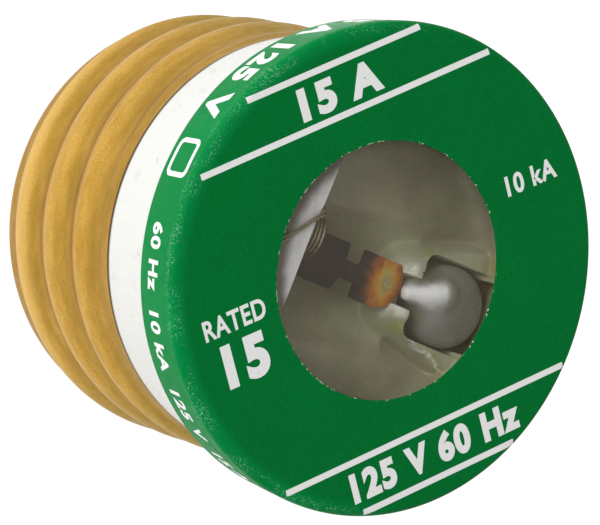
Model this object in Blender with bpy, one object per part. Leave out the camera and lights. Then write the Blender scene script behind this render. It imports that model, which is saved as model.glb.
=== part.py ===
"""Screw-in plug fuse: Edison base, dual element, time delay.

The fuse stands on its centre contact. Z is the screw axis and points out of the face.
X runs along the fuse link, from the trip spring to the thermal slug. The origin is the
middle of the contact's underside. All named sizes are in millimetres.
"""
import math

import bmesh
import bpy
from mathutils import Matrix, Vector

MM = 0.001                  # metres in a millimetre

# Overall
HEIGHT = 26.8               # contact underside to face
ROUND_STEPS = 48            # facets round a large turned piece
SMALL_STEPS = 24            # facets round a small turned piece

# Cap and window
CAP_RADIUS = 14.25
CAP_REAR_RADIUS = 14.0      # the skirt tapers slightly to its rear edge
CAP_SKIRT = 3.9
CAP_SHEET = 0.3
CAP_EDGE_ROUND = 0.4
VIEW_RADIUS = 7.37          # hole in the cap, flared under its edge
VIEW_FLARE = 0.22
WINDOW_RADIUS = 10.7
WINDOW_TOP = 0.40           # depths below the face from here on
WINDOW_BOTTOM = 0.85
GASKET_INNER = 9.95
GASKET_TOP = 0.92
GASKET_BOTTOM = 1.15

# Insulating body
FLANGE_RADIUS = 13.5
FLANGE_BOTTOM = 4.3
NECK_RADIUS = 12.47
NECK_TOP = 5.9
SHELL_TOP = 10.4            # depth of the brass shell's upper edge
CORE_RADIUS = 11.8          # body inside the shell
BODY_BOTTOM = 21.0
CHAMBER_RADIUS = 9.2
CHAMBER_TOP = 11.6
RECESS_DEPTH = 1.2          # seat of the gasket
CAVITY_RADIUS = 9.9
LEDGE_DEPTH = 1.6           # ledge that carries the shelf plate
FLOOR_DEPTH = 5.0           # flat floor of the cavity
BLOCK_X = -5.2              # the block under the shelf plate ends here
TROUGH_LEFT = (-5.0, -1.8, 3.95, 1.9)    # x, middle y, half width, depth below the floor
TROUGH_RIGHT = (8.6, 0.0, 4.4, 2.2)
LOBE_X = (4.15, 5.3)        # the two lobes that form the slot
LOBE_DEPTH = 4.2
SLOT_Y = -0.2
SLOT_HALF = 0.85
SLOT_DEPTH = 5.8
POCKET_X = (5.3, 10.6)
POCKET_HALF = 2.52
POCKET_DEPTH = 7.9
POCKET_TOP = 2.2
CHANNEL_X = -9.75
CHANNEL_HALF = 2.55
CHANNEL_DEPTH = 5.7

# Screw shell, standard Edison E26 thread
SHEET = 0.3
CREST_RADIUS = 13.03
ROOT_RADIUS = 12.42
PITCH = 25.4 / 7.0          # seven turns to the inch
CREST_ANGLE = 204.5         # a crest passes this angle at CREST_DEPTH
CREST_DEPTH = 13.36
THREAD_END = 22.5
THREAD_FADE = 1.7
LIP_RADIUS = 8.95
LIP_DEPTH = 23.55

# Base
INSULATOR_TOP = 5.1         # heights above the contact underside
INSULATOR_RADIUS = 10.3
CONTACT_RADIUS = 5.1
CONTACT_HEIGHT = 1.2
RIVET_RADIUS = 0.85

# Mechanism, depths below the face
LINK_Y = -0.45
LINK_TOP = 4.6
LINK_SHEET = 0.2
PAD_HALF = 1.48
NECK_HALF = 0.52
SLUG_CENTRE = (8.0, -0.2)
SLUG_RADIUS = 2.42
SLUG_TOP = 3.6
SLUG_SHOULDER = 4.9
SLUG_BOTTOM = 7.4
SHELF_TOP = 1.25
SHELF_BOTTOM = 1.55
SPRING_WIRE = 0.17
SPRING_RADIUS = 1.32        # of the coil's wire centre line
SPRING_Y = 0.42
SPRING_DEPTH = 3.1
SPRING_RIGHT = -3.65
SPRING_LEFT = -6.8
SPRING_TURNS = 12
COIL_START = math.radians(12.0)    # the last turn ends on the +Y side, near the tail
SEAT_X = (-7.2, -7.0)
WIRE_DEPTH = 1.04           # wires that cross the top of the shelf plate
LEAD_WIRE = 0.13
STRAP_ANGLE = 215.0
STRAP_RADIUS = 8.9
STRAP_SHEET = 0.35
STRAP_HALF = 1.1


def material(name, colour, roughness, metallic=0.0):
    """Principled material with the piece's colour and finish."""
    made = bpy.data.materials.new(name)
    made.use_nodes = True
    shader = made.node_tree.nodes["Principled BSDF"]
    shader.inputs["Base Color"].default_value = (*colour, 1.0)
    shader.inputs["Roughness"].default_value = roughness
    shader.inputs["Metallic"].default_value = metallic
    return made


def finish_mesh(name, mesh, colour_material):
    """Turn a bmesh into a named, smooth-shaded object."""
    bmesh.ops.remove_doubles(mesh, verts=mesh.verts, dist=0.0001 * MM)
    bmesh.ops.recalc_face_normals(mesh, faces=mesh.faces)
    data = bpy.data.meshes.new(name)
    mesh.to_mesh(data)
    mesh.free()
    data.shade_smooth()
    data.set_sharp_from_angle(angle=math.radians(35))
    made = bpy.data.objects.new(name, data)
    bpy.context.scene.collection.objects.link(made)
    if colour_material:
        data.materials.append(colour_material)
    return made


def height(depth):
    """Height above the contact of a depth below the face."""
    return HEIGHT - depth


def turned(name, outline, colour_material, steps=ROUND_STEPS, centre=(0.0, 0.0)):
    """Spin a closed outline of (radius, height) points about a vertical axis."""
    mesh = bmesh.new()
    x, y = centre
    points = [mesh.verts.new(Vector((x + r, y, z)) * MM) for r, z in outline]
    edges = []
    for i, (radius, _) in enumerate(outline):
        if radius > 0 or outline[i - 1][0] > 0:
            edges.append(mesh.edges.new((points[i - 1], points[i])))
    bmesh.ops.spin(
        mesh, geom=points + edges, cent=Vector((x, y, 0)) * MM, axis=(0, 0, 1),
        angle=2 * math.pi, steps=steps, use_merge=True)
    return finish_mesh(name, mesh, colour_material)


def prism(name, outline, low, high, colour_material, upright="Z"):
    """Extrude a flat outline. With upright Z it is (x, y), with Y it is (x, z)."""
    mesh = bmesh.new()
    if upright == "Z":
        points = [Vector((a, b, low)) for a, b in outline]
        shift = Vector((0, 0, high - low))
    else:
        points = [Vector((a, low, b)) for a, b in outline]
        shift = Vector((0, high - low, 0))
    face = mesh.faces.new([mesh.verts.new(point * MM) for point in points])
    raised = bmesh.ops.extrude_face_region(mesh, geom=[face])
    moved = [item for item in raised["geom"] if isinstance(item, bmesh.types.BMVert)]
    bmesh.ops.translate(mesh, verts=moved, vec=shift * MM)
    return finish_mesh(name, mesh, colour_material)


def loft(name, rings, colour_material):
    """Join rings of equal length into one closed body with flat ends."""
    mesh = bmesh.new()
    rows = [[mesh.verts.new(Vector(point) * MM) for point in ring] for ring in rings]
    count = len(rows[0])
    for row, following in zip(rows, rows[1:]):
        for i in range(count):
            j = (i + 1) % count
            mesh.faces.new((row[i], row[j], following[j], following[i]))
    mesh.faces.new(rows[0])
    mesh.faces.new(rows[-1])
    return finish_mesh(name, mesh, colour_material)


def box(name, low, high, colour_material):
    """Plain block between two corners."""
    outline = [(low[0], low[1]), (high[0], low[1]), (high[0], high[1]), (low[0], high[1])]
    return prism(name, outline, low[2], high[2], colour_material)


def smooth_path(points, steps):
    """Catmull-Rom curve through the points, as a list of vectors."""
    knots = [Vector(p) for p in points]
    knots = [2 * knots[0] - knots[1]] + knots + [2 * knots[-1] - knots[-2]]
    curve = []
    for a, b, c, d in zip(knots, knots[1:], knots[2:], knots[3:]):
        for i in range(steps):
            t = i / steps
            curve.append(0.5 * (2 * b + (c - a) * t + (2 * a - 5 * b + 4 * c - d) * t**2
                                + (3 * b - a - 3 * c + d) * t**3))
    return curve + [knots[-2]]


def wire(name, path, diameter, colour_material, sides=6):
    """Round wire along a path, closed by flat ends."""
    rings = []
    across = Vector((0, 0, 1))
    for i, point in enumerate(path):
        ahead = path[min(i + 1, len(path) - 1)]
        behind = path[max(i - 1, 0)]
        tangent = (ahead - behind).normalized()
        across = (across - tangent * across.dot(tangent)).normalized()
        other = tangent.cross(across)
        ring = []
        for k in range(sides):
            turn = 2 * math.pi * k / sides
            ring.append(point + (across * math.cos(turn) + other * math.sin(turn)) * diameter / 2)
        rings.append(ring)
    return loft(name, rings, colour_material)


def combine(target, tool, operation="DIFFERENCE"):
    """Cut the tool from the target, or join it on. The tool stays as a hidden guide."""
    tool.hide_render = True
    tool.display_type = "WIRE"
    change = target.modifiers.new(tool.name, "BOOLEAN")
    change.operation = operation
    change.solver = "EXACT"
    change.object = tool


def arc(centre_x, centre_y, radius, start, end, steps):
    """Points on an arc, angles in degrees."""
    points = []
    for i in range(steps + 1):
        angle = math.radians(start + (end - start) * i / steps)
        points.append((centre_x + radius * math.cos(angle), centre_y + radius * math.sin(angle)))
    return points


def make_cap(paint):
    """Thin pressed cap with a round viewing hole."""
    edge = arc(CAP_RADIUS - CAP_EDGE_ROUND, HEIGHT - CAP_EDGE_ROUND, CAP_EDGE_ROUND, 90, 0, 3)
    outline = [(VIEW_RADIUS, HEIGHT)] + edge + [
        (CAP_REAR_RADIUS, height(CAP_SKIRT)),
        (CAP_REAR_RADIUS - CAP_SHEET, height(CAP_SKIRT)),
        (CAP_RADIUS - CAP_SHEET, height(CAP_EDGE_ROUND)),
        (CAP_RADIUS - CAP_EDGE_ROUND, height(CAP_SHEET)),
        (VIEW_RADIUS + VIEW_FLARE, height(CAP_SHEET)),
    ]
    return turned("cap", outline, paint)


def make_window(clear):
    """Clear disc clamped under the cap."""
    outline = [
        (0, height(WINDOW_TOP)), (WINDOW_RADIUS, height(WINDOW_TOP)),
        (WINDOW_RADIUS, height(WINDOW_BOTTOM)), (0, height(WINDOW_BOTTOM)),
    ]
    return turned("window", outline, clear)


def make_gasket(fibre):
    """Fibre ring that seals the window on the body."""
    outline = [
        (GASKET_INNER, height(GASKET_TOP)), (WINDOW_RADIUS, height(GASKET_TOP)),
        (WINDOW_RADIUS, height(GASKET_BOTTOM)), (GASKET_INNER, height(GASKET_BOTTOM)),
    ]
    return turned("window_gasket", outline, fibre)


def body_outline():
    """Outer shape of the moulding, with the window recess and the lower chamber."""
    rim = WINDOW_RADIUS + 0.1
    rim_top = height(CAP_SHEET + 0.12)
    shell_step = height(SHELL_TOP - 0.06)
    return [
        (0, height(RECESS_DEPTH)), (rim, height(RECESS_DEPTH)), (rim, rim_top),
        (FLANGE_RADIUS - 0.35, rim_top), (FLANGE_RADIUS, rim_top - 0.35),
        (FLANGE_RADIUS, height(FLANGE_BOTTOM - 0.15)), (NECK_RADIUS + 0.2, height(NECK_TOP - 0.3)),
        (NECK_RADIUS, height(NECK_TOP)), (NECK_RADIUS, shell_step), (CORE_RADIUS, shell_step),
        (CORE_RADIUS - 0.15, height(BODY_BOTTOM - 0.5)), (CORE_RADIUS - 0.6, height(BODY_BOTTOM)),
        (CHAMBER_RADIUS + 0.3, height(BODY_BOTTOM)), (CHAMBER_RADIUS, height(BODY_BOTTOM - 0.4)),
        (CHAMBER_RADIUS, height(CHAMBER_TOP)), (0, height(CHAMBER_TOP)),
    ]


def cavity_cutters():
    """Tools that open the cavity from above, before the boss is added."""
    above = HEIGHT + 1.0
    ledge = turned(
        "cut_ledge",
        [(0, above), (CAVITY_RADIUS, above), (CAVITY_RADIUS, height(LEDGE_DEPTH)), (0, height(LEDGE_DEPTH))],
        None)
    half = math.degrees(math.acos(BLOCK_X / (CAVITY_RADIUS - 0.01)))
    floor = prism(
        "cut_floor", arc(0, 0, CAVITY_RADIUS - 0.01, -half, half, 40), height(FLOOR_DEPTH), above, None)
    rings = []
    for x, y, half_width, sag in (TROUGH_LEFT, TROUGH_RIGHT):
        radius = (half_width**2 + sag**2) / (2 * sag)
        middle = height(FLOOR_DEPTH) + radius - sag
        rings.append([(x, a, b) for a, b in arc(y, middle, radius, 0, 345, 23)])
    trough = loft("cut_trough", rings, None)
    return ledge, floor, trough


def make_boss():
    """Raised mound that carries the slot lobes and the slug pocket."""
    rings = []
    for x, top_half, base_half in ((LOBE_X[0], 1.95, 2.6), (9.9, 4.25, 4.95)):
        rings.append([
            (x, SLOT_Y - base_half, height(8.2)), (x, SLOT_Y + base_half, height(8.2)),
            (x, SLOT_Y + top_half, height(LOBE_DEPTH + 0.3)), (x, SLOT_Y + top_half - 0.3, height(LOBE_DEPTH)),
            (x, SLOT_Y - top_half + 0.3, height(LOBE_DEPTH)), (x, SLOT_Y - top_half, height(LOBE_DEPTH + 0.3)),
        ])
    return loft("add_boss", rings, None)


def pocket_outline():
    """Pocket with cut corners on the slot side."""
    left, right = POCKET_X
    y = SLUG_CENTRE[1]
    cut = 0.7
    return [
        (left, y - POCKET_HALF + cut), (left + cut, y - POCKET_HALF), (right - cut, y - POCKET_HALF),
        (right, y - POCKET_HALF + cut), (right, y + POCKET_HALF - cut), (right - cut, y + POCKET_HALF),
        (left + cut, y + POCKET_HALF), (left, y + POCKET_HALF - cut),
    ]


def strap_frame():
    """Places a shape drawn on the +X side at the strap's angle."""
    return Matrix.Rotation(math.radians(STRAP_ANGLE), 4, "Z")


def make_body(ceramic):
    """Moulded insulating body with cavity, trough, lobes, pocket and passages."""
    body = turned("insulating_body", body_outline(), ceramic)
    above = HEIGHT + 1.0
    for tool in cavity_cutters():
        combine(body, tool)
    combine(body, make_boss(), "UNION")
    combine(body, prism("cut_pocket", pocket_outline(), height(POCKET_DEPTH), height(POCKET_TOP), None))
    for name, low, high in (
            ("cut_slot", (LOBE_X[0] - 0.6, SLOT_Y - SLOT_HALF, height(SLOT_DEPTH)),
             (POCKET_X[0] + 0.6, SLOT_Y + SLOT_HALF, above)),
            ("cut_channel", (CHANNEL_X, -CHANNEL_HALF, height(CHANNEL_DEPTH)),
             (BLOCK_X + 0.5, CHANNEL_HALF, above)),
            ("cut_terminal_bore", (7.3, -1.35, height(CHAMBER_TOP + 1)),
             (8.3, 1.05, height(POCKET_DEPTH - 0.5)))):
        combine(body, box(name, low, high, None))
    passage = box(
        "cut_strap_passage", (STRAP_RADIUS - 0.4, -STRAP_HALF - 0.3, height(CHAMBER_TOP + 1)),
        (STRAP_RADIUS + 0.4, STRAP_HALF + 0.3, above), None)
    passage.matrix_world = strap_frame()
    combine(body, passage)
    return body


def shelf_edge():
    """Free edge of the shelf plate, from +Y to -Y, with a notch where the wires cross."""
    return [(-4.65, 7.6), (-4.86, 2.1), (-4.94, 1.7), (-4.98, 1.0), (-5.05, -7.2)]


def make_shelf(card):
    """White fibre plate over the spring, a segment of a disc."""
    radius = CAVITY_RADIUS - 0.12
    edge = shelf_edge()
    top = (edge[0][0], math.sqrt(radius**2 - edge[0][0]**2))
    bottom = (edge[-1][0], -math.sqrt(radius**2 - edge[-1][0]**2))
    start = math.degrees(math.atan2(top[1], top[0]))
    end = 360 + math.degrees(math.atan2(bottom[1], bottom[0]))
    outline = arc(0, 0, radius, start, end, 30) + edge[-2:0:-1]
    shelf = prism("shelf_plate", outline, height(SHELF_BOTTOM), height(SHELF_TOP), card)
    hole = box(
        "cut_shelf_slot", (STRAP_RADIUS - 0.35, -STRAP_HALF - 0.2, height(SHELF_BOTTOM + 0.5)),
        (STRAP_RADIUS + 0.35, STRAP_HALF + 0.2, height(SHELF_TOP - 0.5)), None)
    hole.matrix_world = strap_frame()
    combine(shelf, hole)
    return shelf


def shell_sections():
    """Meridian of the shell's outer face: (root radius, height, thread strength)."""
    sections = [(ROOT_RADIUS, height(SHELL_TOP), 0.0), (ROOT_RADIUS, height(SHELL_TOP + 0.5), 0.0)]
    rows = 22
    for i in range(rows + 1):
        depth = SHELL_TOP + 0.8 + (THREAD_END - SHELL_TOP - 0.8) * i / rows
        rise = (depth - SHELL_TOP - 0.5) / 1.0
        fall = (THREAD_END - depth) / THREAD_FADE
        sections.append((ROOT_RADIUS, height(depth), min(1.0, rise, fall)))
    curl = LIP_DEPTH - THREAD_END
    for turn in (25, 50, 72):
        inward = curl * (1 - math.cos(math.radians(turn)))
        down = curl * math.sin(math.radians(turn))
        sections.append((ROOT_RADIUS - inward, height(THREAD_END + down), 0.0))
    sections += [(ROOT_RADIUS - 1.6, height(LIP_DEPTH), 0.0), (LIP_RADIUS, height(LIP_DEPTH), 0.0)]
    return sections


def thread_radius(root, level, strength, angle):
    """Outer radius of the rolled thread, a right-hand helix."""
    turns = (level - height(CREST_DEPTH)) / PITCH - (angle - math.radians(CREST_ANGLE)) / (2 * math.pi)
    wave = 0.5 + 0.5 * math.cos(2 * math.pi * turns)
    return root + (CREST_RADIUS - ROOT_RADIUS) * wave * strength


def make_shell(brass):
    """Rolled screw shell: one sheet, threaded inside and out, curled in at the bottom."""
    steps = 44
    mesh = bmesh.new()
    sections = shell_sections()
    columns = []
    for k in range(steps):
        angle = 2 * math.pi * k / steps
        outer = [(thread_radius(r, z, s, angle), z) for r, z, s in sections]
        inner = []
        for i, (r, z) in enumerate(outer):
            before = outer[max(i - 1, 0)]
            after = outer[min(i + 1, len(outer) - 1)]
            along = Vector((after[0] - before[0], after[1] - before[1])).normalized()
            inner.append((r + along.y * SHEET, z - along.x * SHEET))
        loop = outer + inner[::-1]
        columns.append([
            mesh.verts.new(Vector((r * math.cos(angle), r * math.sin(angle), z)) * MM) for r, z in loop])
    count = len(columns[0])
    for k in range(steps):
        this, following = columns[k], columns[(k + 1) % steps]
        for i in range(count):
            j = (i + 1) % count
            mesh.faces.new((this[i], following[i], following[j], this[j]))
    return finish_mesh("screw_shell", mesh, brass)


def make_insulator(phenolic):
    """Dark moulded disc and cone that closes the shell's lower end."""
    outline = [
        (RIVET_RADIUS + 0.12, INSULATOR_TOP), (INSULATOR_RADIUS, INSULATOR_TOP), (INSULATOR_RADIUS, 4.3),
        (8.7, 3.8), (8.5, 3.4), (5.8, 1.35), (RIVET_RADIUS + 0.12, 1.35),
    ]
    return turned("base_insulator", outline, phenolic)


def make_contact(tinned):
    """Centre contact, a shallow flat-bottomed button with a hole for the rivet."""
    hole = RIVET_RADIUS + 0.1
    outline = [
        (hole, CONTACT_HEIGHT), (CONTACT_RADIUS - 0.2, CONTACT_HEIGHT), (CONTACT_RADIUS, 0.85),
        (CONTACT_RADIUS - 0.2, 0.25), (CONTACT_RADIUS - 0.9, 0.0), (hole, 0.0),
    ]
    return turned("centre_contact", outline, tinned)


def make_rivet(copper):
    """Rivet that joins the contact to the terminal inside."""
    outline = [
        (0, 0.55), (RIVET_RADIUS, 0.55), (RIVET_RADIUS, INSULATOR_TOP + 0.1), (1.8, INSULATOR_TOP + 0.1),
        (1.8, INSULATOR_TOP + 0.4), (1.4, INSULATOR_TOP + 0.8), (0, INSULATOR_TOP + 0.8),
    ]
    return turned("contact_rivet", outline, copper, SMALL_STEPS)


def make_contact_solder(solder):
    """Solder that fills the contact's hole below the rivet."""
    outline = [(0, 0.03), (0.5, 0.05), (0.8, 0.2), (RIVET_RADIUS - 0.02, 0.45), (0, 0.45)]
    return turned("contact_solder", outline, solder, SMALL_STEPS)


def make_terminal(copper):
    """Bent strip from the rivet to the underside of the thermal slug."""
    low = INSULATOR_TOP + 0.9
    outline = [
        (-1.5, low), (8.0, low), (8.0, height(SLUG_BOTTOM + 0.1)), (7.6, height(SLUG_BOTTOM + 0.1)),
        (7.6, low + 0.4), (-1.5, low + 0.4),
    ]
    y = SLUG_CENTRE[1]
    return prism("slug_terminal", outline, y - 0.9, y + 0.9, copper, "Y")


def make_slug(alloy):
    """Thermal slug: a short button with a domed top."""
    rise = SLUG_SHOULDER - SLUG_TOP
    dome = []
    for i in range(6):
        angle = math.radians(90 * i / 5)
        dome.append((SLUG_RADIUS * math.sin(angle), height(SLUG_SHOULDER) + rise * math.cos(angle)))
    bottom = height(SLUG_BOTTOM)
    outline = dome + [(SLUG_RADIUS, bottom + 0.3), (SLUG_RADIUS - 0.3, bottom), (0, bottom)]
    return turned("thermal_slug", outline, alloy, 32, SLUG_CENTRE)


def make_fusing_alloy(solder):
    """Low-melting joint between the trigger tip and the slug."""
    rings = []
    for x, half, top, low in ((4.62, 0.22, 4.15, 4.9), (4.75, 0.42, 3.95, 5.1), (5.5, 0.45, 3.9, 5.1)):
        rings.append([
            (x, SLOT_Y - half, height(low)), (x, SLOT_Y + half, height(low)),
            (x, SLOT_Y + half, height(top + 0.25)), (x, SLOT_Y + 0.5 * half, height(top)),
            (x, SLOT_Y - 0.5 * half, height(top)), (x, SLOT_Y - half, height(top + 0.25)),
        ])
    return loft("fusing_alloy", rings, solder)


def link_outline():
    """Flat fuse link: seat end, first pad, notched neck, second pad and pointed tip."""
    return [
        (-7.2, -PAD_HALF), (-0.35, -PAD_HALF), (0.1, -NECK_HALF), (1.12, -NECK_HALF), (1.12, -PAD_HALF),
        (3.4, -PAD_HALF), (3.8, -1.2), (4.05, -0.6), (4.5, -0.35), (4.5, 0.35), (4.05, 0.7), (4.0, 1.3),
        (3.75, PAD_HALF), (1.12, PAD_HALF), (1.12, NECK_HALF), (0.0, NECK_HALF), (0.0, PAD_HALF),
        (-4.2, PAD_HALF), (-4.25, 2.75), (-4.95, 2.75), (-5.0, PAD_HALF), (-7.2, PAD_HALF),
    ]


def make_link(copper):
    """Notched strip that melts on a short circuit and slides out when the slug lets go."""
    outline = [(x, LINK_Y + y) for x, y in link_outline()]
    return prism("fuse_link", outline, height(LINK_TOP + LINK_SHEET), height(LINK_TOP), copper)


def make_trigger(copper):
    """Heater strip welded under the link's second pad, with the tip held in the slot."""
    outline = [
        (1.9, -0.8), (3.6, -0.8), (4.0, -0.4), (4.5, -0.3), (4.5, 0.3), (4.0, 0.4), (3.6, 0.8), (1.9, 0.8)]
    outline = [(x, LINK_Y + y) for x, y in outline]
    top = LINK_TOP + LINK_SHEET + 0.1
    return prism("trigger_strip", outline, height(top + 0.2), height(top), copper)


def make_weld(grey):
    """Weld spot on top of the second pad."""
    bottom = height(LINK_TOP - 0.05)
    outline = [(0, bottom), (0.36, bottom), (0.28, bottom + 0.1), (0, bottom + 0.14)]
    return turned("link_weld", outline, grey, 16, (3.4, LINK_Y + 0.12))


def make_seat(brass):
    """Upright tab at the link's end that the spring pushes."""
    outline = [(SPRING_Y + y, z) for y, z in (
        (-1.5, height(LINK_TOP - 0.1)), (1.3, height(LINK_TOP - 0.1)), (1.3, height(2.4)),
        (0.7, height(1.8)), (-0.7, height(1.8)), (-1.3, height(2.4)))]
    return loft("spring_seat", [[(x, y, z) for y, z in outline] for x in SEAT_X], brass)


def coil_point(turn):
    """Point on the coil's centre line; turn counts from the left end."""
    x = SPRING_LEFT + (SPRING_RIGHT - SPRING_LEFT) * turn / SPRING_TURNS
    angle = 2 * math.pi * turn + COIL_START
    y = SPRING_Y + SPRING_RADIUS * math.cos(angle)
    z = height(SPRING_DEPTH) + SPRING_RADIUS * math.sin(angle)
    return Vector((x, y, z))


def spring_tail():
    """From the coil's last turn, over the shelf plate's edge, to the anchor."""
    return [
        (-3.88, 1.72, height(2.3)), (-4.25, 1.7, height(1.55)), (-4.7, 1.55, height(1.12)),
        (-5.2, 1.1, height(WIRE_DEPTH)), (-6.0, 0.12, height(WIRE_DEPTH)), (-6.9, -0.95, height(WIRE_DEPTH)),
        (-7.5, -1.65, height(WIRE_DEPTH)),
    ]


def make_spring(steel):
    """Compressed trip spring; its fixed end hooks over the shelf plate."""
    per_turn = 12
    coil = [coil_point(i / per_turn) for i in range(SPRING_TURNS * per_turn + 1)]
    tail = smooth_path([tuple(coil[-1])] + spring_tail(), 4)
    return wire("trip_spring", coil + tail[1:], SPRING_WIRE, steel)


def make_anchor(steel):
    """Headed pin that holds the spring's tail on the shelf plate."""
    top = height(WINDOW_BOTTOM + 0.07)
    bottom = height(SHELF_TOP - 0.05)
    outline = [(0, bottom), (0.35, bottom), (0.4, top - 0.08), (0.25, top), (0, top)]
    return turned("spring_anchor", outline, steel, 16, (-7.83, -2.04))


def lead_route():
    """Flexible lead from the link's side tab, over the shelf plate, to the strap."""
    return [
        (-4.6, 2.05, height(4.45)), (-4.6, 2.1, height(3.6)), (-4.5, 2.1, height(2.4)),
        (-4.55, 2.0, height(1.5)), (-5.0, 1.62, height(WIRE_DEPTH)), (-5.62, 0.84, height(WIRE_DEPTH)),
        (-6.38, -0.06, height(WIRE_DEPTH)), (-7.35, -0.95, height(WIRE_DEPTH)),
        (-8.75, -2.0, height(WIRE_DEPTH)), (-8.55, -3.4, height(WIRE_DEPTH)),
        (-7.58, -4.55, height(WIRE_DEPTH)),
    ]


def make_lead(copper):
    """Fine flexible lead that carries the current past the spring."""
    return wire("flexible_lead", smooth_path(lead_route(), 4), LEAD_WIRE, copper)


def make_strap(brass):
    """Strip from the lead's end down to the shell, with an outward foot at the bottom."""
    bottom = BODY_BOTTOM + 0.1
    inner, outer = STRAP_RADIUS - STRAP_SHEET / 2, STRAP_RADIUS + STRAP_SHEET / 2
    outline = [
        (inner, height(WIRE_DEPTH + 0.16)), (outer, height(WIRE_DEPTH + 0.16)), (outer, height(bottom)),
        (11.1, height(bottom)), (11.1, height(bottom + 0.3)), (inner, height(bottom + 0.3)),
    ]
    strap = prism("shell_strap", outline, -STRAP_HALF, STRAP_HALF, brass, "Y")
    strap.matrix_world = strap_frame()
    return strap


def make_strap_solder(solder):
    """Solder fillet between the strap's foot and the shell wall."""
    top = height(BODY_BOTTOM + 0.1)
    outline = [(11.2, top), (11.75, top), (11.8, top - 0.25), (11.6, top - 0.4), (11.2, top - 0.35)]
    joint = prism("strap_solder", outline, -0.9, 0.9, solder, "Y")
    joint.matrix_world = strap_frame()
    return joint


def make_lead_solder(solder):
    """Solder bead that joins the lead to the strap."""
    joint = turned(
        "lead_solder",
        [(0, 0.0), (0.55, 0.0), (0.6, 0.1), (0.4, 0.24), (0, 0.28)], solder, 16)
    joint.location = strap_frame() @ (Vector((STRAP_RADIUS, 0.0, height(WIRE_DEPTH + 0.12))) * MM)
    return joint


def build():
    """Make every piece in order from the face to the contact."""
    for old in list(bpy.data.objects):
        bpy.data.objects.remove(old, do_unlink=True)
    green = material("green_paint", (0.0, 0.16, 0.03), 0.35)
    clear = material("clear_window", (0.75, 0.75, 0.7), 0.05)
    fibre = material("brown_fibre", (0.3, 0.16, 0.07), 0.8)
    ceramic = material("white_ceramic", (0.85, 0.85, 0.83), 0.3)
    card = material("white_fibre", (0.75, 0.75, 0.73), 0.7)
    brass = material("brass", (0.62, 0.40, 0.13), 0.35, 1.0)
    phenolic = material("dark_phenolic", (0.03, 0.025, 0.02), 0.4)
    tinned = material("tinned_brass", (0.6, 0.58, 0.54), 0.35, 1.0)
    copper = material("copper", (0.6, 0.25, 0.12), 0.4, 1.0)
    solder = material("solder", (0.6, 0.6, 0.6), 0.3, 1.0)
    slug = material("slug_alloy", (0.35, 0.35, 0.34), 0.4, 1.0)
    steel = material("spring_steel", (0.3, 0.28, 0.22), 0.35, 1.0)
    link = material("oxidised_copper", (0.06, 0.04, 0.045), 0.6, 0.6)
    make_cap(green)
    make_window(clear)
    make_gasket(fibre)
    make_body(ceramic)
    make_shelf(card)
    make_shell(brass)
    make_insulator(phenolic)
    make_contact(tinned)
    make_rivet(copper)
    make_contact_solder(solder)
    make_terminal(copper)
    make_slug(slug)
    make_fusing_alloy(solder)
    make_link(link)
    make_trigger(copper)
    make_weld(slug)
    make_seat(brass)
    make_spring(steel)
    make_anchor(steel)
    make_lead(copper)
    make_strap(brass)
    make_strap_solder(solder)
    make_lead_solder(solder)


build()
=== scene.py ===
"""Looks of the screw-in plug fuse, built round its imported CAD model.

Sizes are in millimetres, in the part's own frame: Z is the screw axis and points out of the
face, X runs along the fuse link, and the origin is under the centre contact. Depths are
measured down from the face.
"""
import math

import bmesh
import bpy
import numpy as np
from mathutils import Matrix, Vector


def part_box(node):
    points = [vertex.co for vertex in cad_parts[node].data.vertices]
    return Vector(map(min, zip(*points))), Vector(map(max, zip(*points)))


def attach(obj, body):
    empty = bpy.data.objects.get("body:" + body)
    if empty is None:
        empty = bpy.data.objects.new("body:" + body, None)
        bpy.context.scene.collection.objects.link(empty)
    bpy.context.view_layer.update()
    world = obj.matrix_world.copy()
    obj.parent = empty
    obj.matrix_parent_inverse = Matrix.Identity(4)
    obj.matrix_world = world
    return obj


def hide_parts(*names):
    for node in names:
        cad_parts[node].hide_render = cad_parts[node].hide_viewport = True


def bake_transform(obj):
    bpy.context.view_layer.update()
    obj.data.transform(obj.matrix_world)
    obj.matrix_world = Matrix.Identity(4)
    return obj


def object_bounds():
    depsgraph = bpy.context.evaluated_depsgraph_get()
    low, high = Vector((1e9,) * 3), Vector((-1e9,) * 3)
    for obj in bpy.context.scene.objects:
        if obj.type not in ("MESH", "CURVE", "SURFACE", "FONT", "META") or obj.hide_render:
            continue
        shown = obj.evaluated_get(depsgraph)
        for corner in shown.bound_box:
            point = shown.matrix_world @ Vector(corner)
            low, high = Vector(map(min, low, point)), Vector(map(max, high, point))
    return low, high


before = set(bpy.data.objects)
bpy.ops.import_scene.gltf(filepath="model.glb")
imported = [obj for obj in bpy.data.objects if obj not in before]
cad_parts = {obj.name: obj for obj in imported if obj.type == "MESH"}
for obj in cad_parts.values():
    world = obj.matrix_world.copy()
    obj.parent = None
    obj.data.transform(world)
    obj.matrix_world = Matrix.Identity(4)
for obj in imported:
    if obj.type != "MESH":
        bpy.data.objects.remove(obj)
CAD_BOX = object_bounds()

MM = 0.001
TOP = CAD_BOX[1].z / MM  # height of the face
OUTER = CAD_BOX[1].x / MM  # radius of the cap
LARGE_STEPS = 256  # facets round a large turned piece
SMALL_STEPS = 64


def box_mm(node):
    """Lowest and highest corner of a CAD node, in millimetres."""
    low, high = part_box(node)
    return low / MM, high / MM


def level(depth):
    """Height of a depth below the face."""
    return TOP - depth


def middle_of(low, high):
    """Middle of a box in plan."""
    return (low.x + high.x) / 2, (low.y + high.y) / 2


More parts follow.
